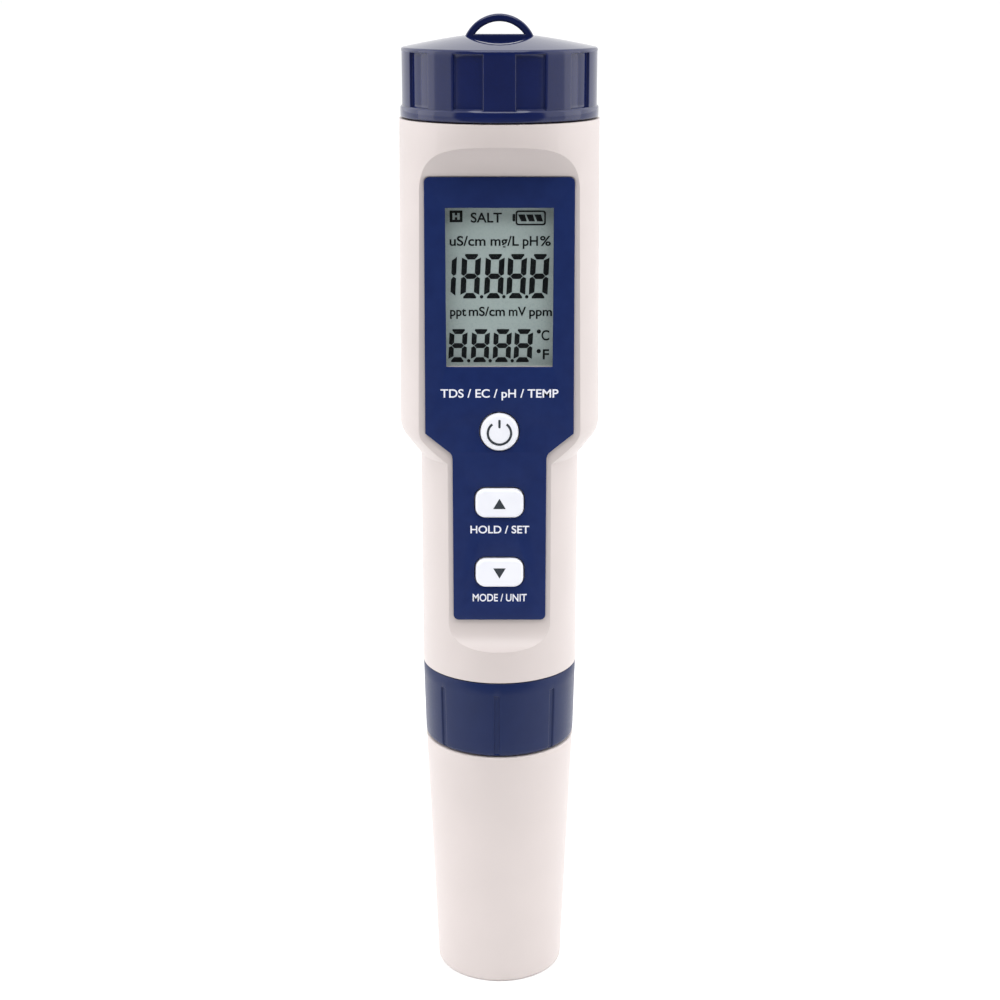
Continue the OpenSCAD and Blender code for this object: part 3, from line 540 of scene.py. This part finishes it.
def display():
    bm = bmesh.new()
    x, z, w, h = WINDOW
    face = -glass_low.y
    add_sheet(bm, [round_rect(0, z, glass_high.x * 2, glass_high.z - glass_low.z, 0.4 * MM)],
              -glass_high.y, face, edge=0.1 * MM)
    piece(bm, "display_pane", "housing", DISPLAY_FACE, ["display_glass"])

    bm = bmesh.new()
    front = face + 0.02 * MM
    back = face - 0.02 * MM

    def at(right, down):
        return x - w / 2 + right * MM, z + h / 2 - down * MM

    outlines = []
    for row in (LARGE_DIGITS, SMALL_DIGITS):
        high, thick = row["high"] * MM, row["thick"] * MM
        for left, right in row["edges"]:
            outlines += segment_digit(*at(left, row["foot"]), (right - left) * MM, high, LEAN,
                                      thick)
    # the leading 1: the right-hand strokes of a digit
    x0, z0 = at(LARGE_DIGITS["one"], LARGE_DIGITS["foot"])
    high, thick = LARGE_DIGITS["high"] * MM, LARGE_DIGITS["thick"] * MM
    for end, way in ((0, 1), (high, -1)):
        middle = high / 2 - 0.07 * MM * way
        stroke = [(thick, end + 0.5 * MM * way), (0.1 * MM, end + 1.2 * MM * way),
                  (0.1 * MM, middle - thick / 2 * way), (thick / 2, middle),
                  (thick, middle - 0.3 * thick * way)]
        outlines.append([(x0 + a + LEAN * b, z0 + b) for a, b in stroke])
    for spot in POINTS:
        outlines.append(arc(*at(*spot), 0.32 * MM, 0, 345, 23))
    for spot in DEGREES:
        outlines.append(arc(*at(*spot), 0.4 * MM, 0, 345, 23))
    # battery symbol: a body with three bars
    x0, z0 = at(12.6, 3.4)
    x1, z1 = at(18.05, 0.72)
    outlines.append(round_rect((x0 + x1) / 2, (z0 + z1) / 2, x1 - x0, z1 - z0, 0.5 * MM))
    outlines.append(round_rect((x0 + x1) / 2, (z0 + z1) / 2, x1 - x0 - 0.6 * MM,
                               z1 - z0 - 0.6 * MM, 0.3 * MM))
    for i in range(3):
        xb = x0 + (0.45 + 1.45 * i) * MM
        outlines.append([(xb + 0.55 * MM, z0 + 0.72 * MM), (xb + 1.6 * MM, z0 + 0.72 * MM),
                         (xb + 1.2 * MM, z1 - 0.72 * MM), (xb, z1 - 0.72 * MM)])
    outlines.append(round_rect(*at(12.3, 2.02), 0.5 * MM, 1.35 * MM, 0.2 * MM))
    # hold symbol: a tile with a clear H
    x0, z0 = at(1.9, 1.78)
    outlines.append(round_rect(x0, z0, 2.3 * MM, 2.1 * MM, 0.1 * MM))
    a, b, c = 0.66 * MM, 0.22 * MM, 0.6 * MM
    outlines.append([(x0 - a, z0 - c), (x0 - b, z0 - c), (x0 - b, z0 - 0.18 * MM),
                     (x0 + b, z0 - 0.18 * MM), (x0 + b, z0 - c), (x0 + a, z0 - c),
                     (x0 + a, z0 + c), (x0 + b, z0 + c), (x0 + b, z0 + 0.18 * MM),
                     (x0 - b, z0 + 0.18 * MM), (x0 - b, z0 + c), (x0 - a, z0 + c)])
    add_sheet(bm, outlines, back, front)
    for words, right, down, high, wide in WORDS:
        add_words(bm, words, *at(right, down), high * MM, front, thick=front - back,
                  width=wide * MM, bold=0.045 * MM)
    piece(bm, "display_marks", "housing", DISPLAY_INK)


# ---------------------------------------------------------------- keys

def power_key():
    bm = bmesh.new()
    r, edge = POWER_R, 0.6 * MM
    crown = 0.12 * MM
    profile = [(0, KEY_BACK), (4.5 * MM, KEY_BACK), (4.5 * MM, KEY_BACK + 0.9 * MM),
               (r, KEY_BACK + 0.9 * MM), (r, KEY_FACE - edge - crown)]
    profile += arc(r - edge, KEY_FACE - edge - crown, edge, 0, 80, 6)[1:]
    profile += [(2.6 * MM, KEY_FACE - crown * 0.45), (1.6 * MM, KEY_FACE - crown * 0.1),
                (0, KEY_FACE)]
    add_lathe(bm, profile, 96)
    lay = Matrix.Translation((0, 0, Z_POWER)) @ Matrix.Rotation(TURN / 4, 4, "X")
    bmesh.ops.transform(bm, matrix=lay, verts=bm.verts[:])
    piece(bm, "power_key_cap", "power_button", KEY_SILICONE, ["power_key"])

    bm = bmesh.new()
    mid = Z_POWER - 0.1 * MM
    ring = arc(0, mid, 2.35 * MM, 90 + 38, 450 - 38, 48)
    ring += arc(0, mid, 1.93 * MM, 450 - 38, 90 + 38, 48)
    bar = round_rect(0, Z_POWER + 1.65 * MM, 0.42 * MM, 1.6 * MM, 0.2 * MM)
    add_sheet(bm, [ring, bar], KEY_FACE - 0.1 * MM, KEY_FACE + 0.012 * MM)
    piece(bm, "power_key_mark", "power_button", PRINT_DARK)


def arrow_key(name, body, z, up):
    bm = bmesh.new()
    add_sheet(bm, [round_rect(0, z, KEY_W, KEY_H, KEY_R, 12)], KEY_BACK + 0.5 * MM, KEY_FACE,
              edge=0.55 * MM, rounds=5)
    add_sheet(bm, [round_rect(0, z, KEY_W + 2 * MM, KEY_H + 2 * MM, KEY_R + 1 * MM)],
              KEY_BACK, KEY_BACK + 0.9 * MM)
    piece(bm, name + "_key_cap", body, KEY_SILICONE, [name + "_key"])
    bm = bmesh.new()
    h, w = 1.0 * MM * (1 if up else -1), 1.17 * MM
    add_sheet(bm, [[(-w, z - h), (w, z - h), (0, z + h)]], KEY_FACE - 0.05 * MM,
              KEY_FACE + 0.012 * MM)
    piece(bm, name + "_key_mark", body, PRINT_DARK)


# ---------------------------------------------------------------- collar and cup

def probe_collar():
    z0, z1 = collar_low.z, collar_high.z
    top_r = collar_high.x
    low_r = top_r - 0.35 * MM
    bore_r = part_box("flange_seal")[1].x + 0.5 * MM
    low = 0.9 * MM
    lip = z0 + 2 * MM
    barrel = 11.75 * MM
    profile = [(bore_r, z1 - 0.2 * MM), (bore_r, lip), (barrel, lip), (barrel, z0 + 0.2 * MM),
               (barrel + 0.2 * MM, z0)]
    profile += arc(low_r - low, z0 + low, low, -90, 0, 6)
    z_groove = z1 - 2.5 * MM
    rows = 8
    profile += [(low_r + (top_r - low_r) * t, z0 + low + (z1 - 0.2 * MM - z0 - low) * t)
                for t in [i / rows for i in range(1, rows)]
                if z0 + low + (z1 - z0 - low) * t < z_groove - 0.3 * MM]
    t = (z_groove - z0 - low) / (z1 - z0 - low)
    profile += [(low_r + (top_r - low_r) * t, z_groove), (top_r, z1 - 0.2 * MM),
                (top_r - 0.15 * MM, z1), (bore_r + 0.15 * MM, z1), (bore_r, z1 - 0.2 * MM)]
    bm = bmesh.new()
    add_lathe(bm, profile, 240, start=FRONT - GROOVE_SHIFT - GROOVE_HALF)
    bmesh.ops.recalc_face_normals(bm, faces=bm.faces[:])
    share = TURN / GROOVES
    chosen = []
    for f in bm.faces:
        c = f.calc_center_median()
        turn = math.atan2(c.y, c.x) - FRONT + GROOVE_SHIFT
        turn = (turn + share / 2) % share - share / 2
        if (abs(turn) < GROOVE_HALF and z0 + 0.25 * MM < c.z < z_groove
                and math.hypot(c.x, c.y) > low_r - 0.6 * MM):
            chosen.append(f)
    ring = set(bmesh.ops.inset_region(bm, faces=chosen, thickness=0.12 * MM,
                                      depth=-GROOVE_DEPTH, use_even_offset=True,
                                      use_boundary=True)["faces"])
    seams = {e for f in ring for e in f.edges
             if sum(g in ring for g in e.link_faces) == 1}
    bmesh.ops.bevel(bm, geom=list(seams), offset=0.08 * MM, offset_type="OFFSET",
                    affect="EDGES", segments=2, profile=0.5, material=-1,
                    clamp_overlap=True)
    ridge = [(bore_r - 0.8 * MM, -0.25 * MM), (bore_r + 0.1 * MM, -0.7 * MM),
             (bore_r + 0.1 * MM, 0.7 * MM), (bore_r - 0.8 * MM, 0.25 * MM)]
    for start in (0, TURN / 2):
        add_ridge(bm, ridge, COLLAR_LEAD, 4.5 * MM, z1 - 8.8 * MM, start)
    return piece(bm, "collar_ring", "collar", COLLAR_NAVY,
                 ["probe_collar"], sharp=50)


def soaking_cap():
    top_r = cup_high.x
    z1 = cup_high.z
    base_r = 12.5 * MM
    bore = 11.75 * MM
    low_bore = 10.55 * MM
    step = 21.5 * MM
    profile = [(0, 0), (base_r - 1.6 * MM, 0), (base_r - 0.9 * MM, 0.0)]
    profile += arc(base_r - 0.8 * MM, 0.8 * MM, 0.8 * MM, -75, -8, 6)
    profile += [(base_r + (top_r - base_r) * t, 1 * MM + (z1 - 1.3 * MM) * t)
                for t in [i / 10 for i in range(0, 11)]]
    profile += [(top_r - 0.08 * MM, z1 - 0.1 * MM), (top_r - 0.25 * MM, z1),
                (bore + 0.3 * MM, z1), (bore, z1 - 0.3 * MM), (bore, step),
                (low_bore, step - 0.3 * MM), (low_bore, 2 * MM), (0, 2 * MM)]
    bm = bmesh.new()
    add_lathe(bm, profile, 144)
    return piece(bm, "soaking_cup", "soaker", MOULDED_WHITE,
                 ["soaking_cap"], sharp=40)


# ---------------------------------------------------------------- make everything

for name, material in CAD_FINISHES.items():
    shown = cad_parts[name]
    shown.data.materials.clear()
    shown.data.materials.append(material)

battery_cap()
front_panel()
panel_print()
display()
power_key()
arrow_key("up", "up_button", Z_UP, True)
arrow_key("down", "down_button", Z_DOWN, False)
probe_collar()
soaking_cap()

# round the housing's edges a little, on its merged mesh
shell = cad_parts["main_housing"]
weld = shell.modifiers.new("weld", "WELD")
weld.merge_threshold = 0.002 * MM
soften = shell.modifiers.new("soften", "BEVEL")
soften.width = 0.35 * MM
soften.segments = 3
soften.limit_method = "ANGLE"
soften.angle_limit = math.radians(28)
soften.loop_slide = False


# ---------------------------------------------------------------- floor, light, camera

PAPER_GLOW = 0.12          # what the paper adds to the light it throws back
TENT_DIM, TENT_BRIGHT, TENT_SIDES = 0.12, 1.02, 1.65


def paper_floor():
    """White paper. What it throws back has painted shade: its colour and glow are darkened in
    a wedge towards the front, except for camera rays.
    """
    mesh = bpy.data.meshes.new("floor")
    bm = bmesh.new()
    bmesh.ops.create_grid(bm, x_segments=1, y_segments=1, size=12)
    bm.to_mesh(mesh)
    bm.free()
    floor = bpy.data.objects.new("floor", mesh)
    bpy.context.collection.objects.link(floor)
    paper = finish("paper_white", (0.90, 0.90, 0.90), (0.885, 0.885, 0.885),
                   rough=(0.8, 0.9), cloud=3, grain=200, bump=0.0,
                   Specular_IOR_Level=0.1, Emission_Color=(1, 1, 1, 1))
    floor.data.materials.append(paper)
    tree = paper.node_tree
    shader = next(n for n in tree.nodes if n.type == "BSDF_PRINCIPLED")
    where = node(tree, "ShaderNodeSeparateXYZ")
    tree.links.new(node(tree, "ShaderNodeTexCoord").outputs["Object"],
                   where.inputs["Vector"])
    aside = math_node(tree, "ABSOLUTE", where.outputs["X"], None)
    wedge = math_node(tree, "MULTIPLY_ADD", aside, 0.7, where.outputs["Y"])
    # painted shade: the paper's colour and glow fall to a fifth in a wedge towards the front,
    # for every ray but camera rays
    shade = ramp(tree, wedge, -0.28, -0.03, 0.2, 1)
    seen = node(tree, "ShaderNodeLightPath").outputs["Is Camera Ray"]
    painted_shade = math_node(tree, "MAXIMUM", shade, seen)
    tint = node(tree, "ShaderNodeVectorMath", operation="SCALE")
    tree.links.new(shader.inputs["Base Color"].links[0].from_socket, tint.inputs[0])
    tree.links.new(painted_shade, tint.inputs["Scale"])
    tree.links.new(tint.outputs["Vector"], shader.inputs["Base Color"])
    tree.links.new(math_node(tree, "MULTIPLY", painted_shade, PAPER_GLOW),
                   shader.inputs["Emission Strength"])


def softbox(name, place, w, h, power, aim=(0, 0, 0.1), colour=(1, 1, 1)):
    lamp = bpy.data.lights.new(name, "AREA")
    lamp.shape = "RECTANGLE"
    lamp.size, lamp.size_y = w, h
    lamp.energy = power
    lamp.color = colour
    made = bpy.data.objects.new(name, lamp)
    made.location = place
    made.rotation_euler = (Vector(aim) - Vector(place)).to_track_quat("-Z", "Y").to_euler()
    bpy.context.collection.objects.link(made)


def studio_tent():
    """A white tent round the sides and back, open and dim in front."""
    world = bpy.data.worlds.new("studio_tent")
    world.use_nodes = True
    sky = world.node_tree
    way = node(sky, "ShaderNodeSeparateXYZ")
    sky.links.new(node(sky, "ShaderNodeTexCoord").outputs["Generated"],
                  way.inputs["Vector"])
    aside = math_node(sky, "ABSOLUTE", way.outputs["X"], None)
    glow = math_node(sky, "MULTIPLY",
                     ramp(sky, way.outputs["Y"], -0.64, -0.54, TENT_DIM, TENT_BRIGHT),
                     ramp(sky, aside, 0.35, 0.75, 1.0, TENT_SIDES))
    seen = node(sky, "ShaderNodeLightPath").outputs["Is Camera Ray"]
    backdrop = sky.nodes["Background"]
    sky.links.new(math_node(sky, "MAXIMUM", glow, seen), backdrop.inputs["Strength"])
    backdrop.inputs["Color"].default_value = (1, 1, 1, 1)
    bpy.context.scene.world = world


paper_floor()
side_aim, side_tint = (0, 0, 0.11), (1, 0.97, 1)
softbox("left_box", (-0.80, 0.05, 0.30), 0.40, 0.9, 1.1, side_aim, side_tint)
softbox("right_box", (0.80, 0.05, 0.30), 0.40, 0.9, 1.0, side_aim, side_tint)
softbox("top_box", (0, 0.1, 1.1), 0.9, 0.9, 1.5)
softbox("front_box", (0, -0.55, 0.95), 0.9, 0.6, 7.0)
studio_tent()
bpy.context.scene.view_settings.view_transform = "Standard"

camera = bpy.data.objects.new("camera", bpy.data.cameras.new("camera"))
camera.data.lens = 66.375
camera.data.sensor_width = 36
camera.data.clip_start = 0.01
camera.location = (0.1 * MM, -0.3423, 0.1949)
camera.rotation_euler = (math.radians(90 - 15.93), 0, 0)
bpy.context.collection.objects.link(camera)
bpy.context.scene.camera = camera
